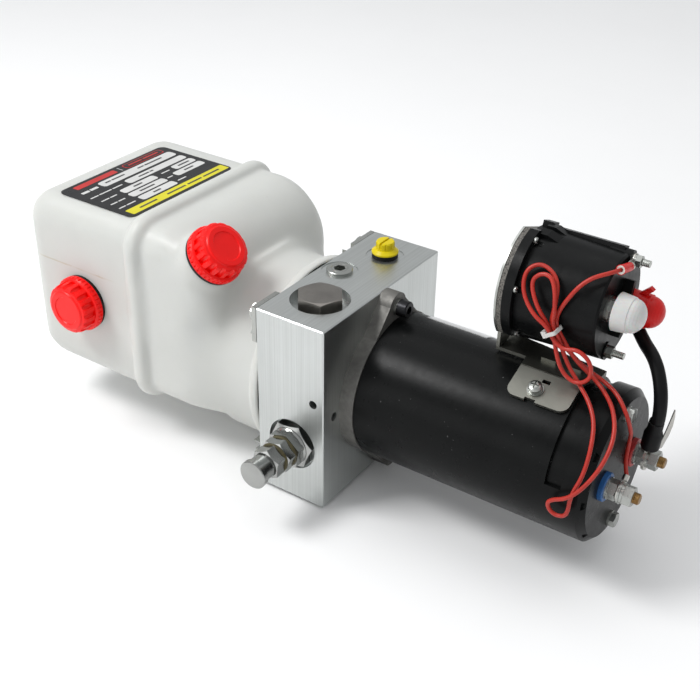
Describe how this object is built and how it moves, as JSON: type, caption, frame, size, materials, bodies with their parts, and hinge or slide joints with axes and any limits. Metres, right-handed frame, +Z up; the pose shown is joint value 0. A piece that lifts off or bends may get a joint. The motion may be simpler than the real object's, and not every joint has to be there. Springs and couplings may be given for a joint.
{
  "type": "hydraulic power unit",
  "caption": "Compact DC hydraulic power unit: valve block with relief valve and plugs, translucent oil tank on one side, black motor with start relay on the other.",
  "frame": {"origin": "centre of the block's underside, midway between its two mounting holes", "axes": "+X along the motor, away from the tank; +Z up; -Y toward the relief valve"},
  "size_m": [0.5185, 0.2135, 0.2279],
  "materials": {
    "block_aluminium": "satin",
    "zinc_steel": "satin",
    "plug_steel": "satin",
    "relief_zinc": "satin",
    "bonded_rubber": "matte",
    "inner_steel": "satin",
    "spring_steel": "satin",
    "black_rubber": "matte",
    "yellow_plastic": "gloss",
    "tank_plastic": "satin",
    "label_film": "gloss",
    "red_plastic": "gloss",
    "pump_aluminium": "matte",
    "sintered_bronze": "matte",
    "tube_steel": "satin",
    "black_screw": "satin",
    "cast_flange": "matte",
    "motor_paint": "gloss",
    "plate_silver": "satin",
    "core_steel": "matte",
    "copper": "satin",
    "carrier_board": "matte",
    "carbon": "matte",
    "red_insulator": "satin",
    "blue_insulator": "satin",
    "gasket_fibre": "matte",
    "relay_plastic": "satin",
    "white_plastic": "satin",
    "red_rubber": "satin",
    "cable_black": "satin",
    "tinned_copper": "satin",
    "wire_red": "gloss",
    "tie_nylon": "satin"
  },
  "bodies": {
    "unit": {"manifold_block": "block_aluminium", "blanking_plugs": "zinc_steel", "tank_clamps": "zinc_steel", "hex_bolts": "zinc_steel", "relay_bracket": "zinc_steel", "relay_screws": "zinc_steel", "terminal_nuts": "zinc_steel", "washers": "zinc_steel", "terminal_studs": "zinc_steel", "relay_base": "zinc_steel", "check_valve_plug": "plug_steel", "relief_valve_body": "relief_zinc", "relief_cap_nut": "relief_zinc", "relief_jam_nut": "relief_zinc", "relief_washers": "bonded_rubber", "relief_adjusting_screw": "inner_steel", "check_valve_spring": "spring_steel", "relief_spring": "spring_steel", "relay_spring": "spring_steel", "seals": "black_rubber", "tank": "tank_plastic", "tank_label": "label_film", "pump_housing": "pump_aluminium", "bushings": "sintered_bronze", "oil_tubes": "tube_steel", "socket_head_bolts": "black_screw", "motor_flange": "cast_flange", "motor_tube": "motor_paint", "end_bell": "motor_paint", "nameplate": "plate_silver", "pole_shoes": "core_steel", "field_coils": "copper", "relay_coil": "copper", "brush_carrier": "carrier_board", "brushes": "carbon", "positive_insulator": "red_insulator", "negative_insulator": "blue_insulator", "relay_gasket": "gasket_fibre", "relay_housing": "relay_plastic", "stud_boot": "red_rubber", "battery_cable": "cable_black", "cable_terminals": "tinned_copper", "control_wire": "wire_red", "cable_tie": "tie_nylon"},
    "rotor": {"armature_shaft": "inner_steel", "armature_core": "core_steel", "armature_winding": "copper", "shaft_coupling": "inner_steel", "drive_gear": "inner_steel"},
    "pump_gear": {"driven_gear": "inner_steel"},
    "check_poppet": {"check_valve_poppet": "inner_steel"},
    "relief_valve_poppet": {"relief_poppet": "inner_steel"},
    "plunger": {"relay_plunger": "inner_steel"},
    "tank_side_cap": {"side_cap": "red_plastic", "side_cap_seal": "black_rubber"},
    "tank_filler_cap": {"filler_cap": "red_plastic", "filler_cap_seal": "black_rubber"},
    "outlet_plug": {"outlet_port_plug": "yellow_plastic", "outlet_port_ring": "black_rubber"},
    "white_cover": {"stud_cover": "white_plastic"}
  },
  "joints": [
    {"name": "rotor_spin", "type": "hinge", "parent": "unit", "child": "rotor", "pos_m": [0.12, 0, 0.0775], "axis": [1, 0, 0], "continuous": true},
    {"name": "pump_gear_spin", "type": "hinge", "parent": "unit", "child": "pump_gear", "pos_m": [-0.054, 0, 0.1015], "axis": [1, 0, 0], "continuous": true},
    {"name": "check_poppet_lift", "type": "slide", "parent": "unit", "child": "check_poppet", "axis": [0, 0, 1], "range_m": [0, 0.003], "stiffness_N_per_m": 900, "springref_m": -0.003, "deforming": ["check_valve_spring"]},
    {"name": "relief_poppet_lift", "type": "slide", "parent": "unit", "child": "relief_valve_poppet", "axis": [0, -1, 0], "range_m": [0, 0.002], "stiffness_N_per_m": 4000, "springref_m": -0.003, "deforming": ["relief_spring"]},
    {"name": "relay_plunger_pull", "type": "slide", "parent": "unit", "child": "plunger", "axis": [1, 0, 0], "range_m": [0, 0.003], "stiffness_N_per_m": 900, "springref_m": -0.004, "deforming": ["relay_spring"]},
    {"name": "side_cap_off", "type": "slide", "parent": "unit", "child": "tank_side_cap", "axis": [0, -1, 0], "range_m": [0, 0.03]},
    {"name": "filler_cap_off", "type": "slide", "parent": "unit", "child": "tank_filler_cap", "axis": [0.7314, 0, 0.682], "range_m": [0, 0.03]},
    {"name": "outlet_plug_off", "type": "slide", "parent": "unit", "child": "outlet_plug", "axis": [0, 0, 1], "range_m": [0, 0.03]},
    {"name": "stud_cover_off", "type": "slide", "parent": "unit", "child": "white_cover", "axis": [1, 0, 0], "range_m": [0, 0.03]}
  ],
  "couplings": [
    {"joint": "pump_gear_spin", "follows": "rotor_spin", "ratio": -1}
  ]
}
